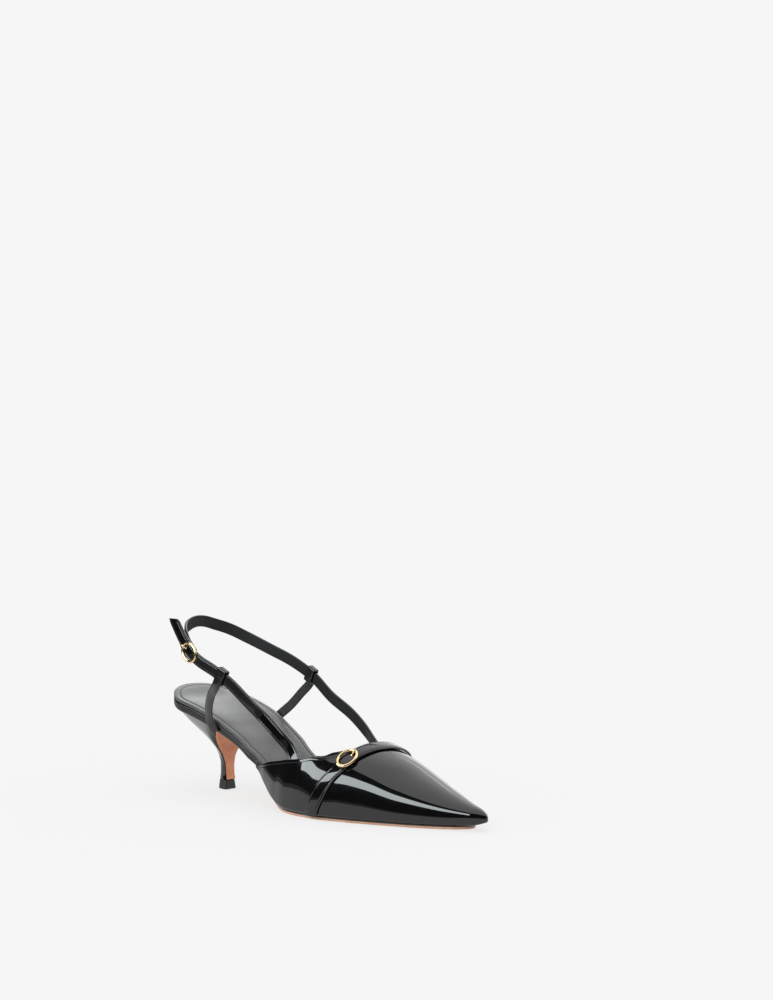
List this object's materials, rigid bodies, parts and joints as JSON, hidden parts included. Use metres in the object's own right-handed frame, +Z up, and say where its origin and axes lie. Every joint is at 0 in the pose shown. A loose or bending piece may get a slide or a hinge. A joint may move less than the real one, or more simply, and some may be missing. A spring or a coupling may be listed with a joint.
{
  "type": "slingback pump",
  "caption": "Pointed low-heeled slingback pump, right shoe, hollow low-cut upper with a strap and buckle over the vamp, and a heel strap held up by side straps.",
  "frame": {"origin": "centre of the heel tip's floor face", "axes": "+X to the toe, +Y to the inner side of the foot, +Z up"},
  "size_m": [0.2506, 0.0812, 0.1132],
  "materials": {
    "patent": "high-gloss black patent leather",
    "cover": "smooth black leather wrapped over the board",
    "sock": "soft matt black leather with a stitched line",
    "sole": "smooth tan sole leather",
    "gold": "polished pale gold plating",
    "tip": "matt black hard rubber"
  },
  "bodies": {
    "root": {"outsole": "sole", "breast_cover": "sole", "insole_board": "cover", "sock": "sock", "heel": "patent", "top_piece": "tip", "upper": "patent", "vamp_strap": "patent", "sling_strap": "patent", "strap_outer": "patent", "support_outer": "patent", "support_inner": "patent", "sling_buckle": "gold", "sling_buckle_prong": "gold", "vamp_buckle": "gold", "vamp_buckle_prong": "gold"}
  },
  "joints": []
}
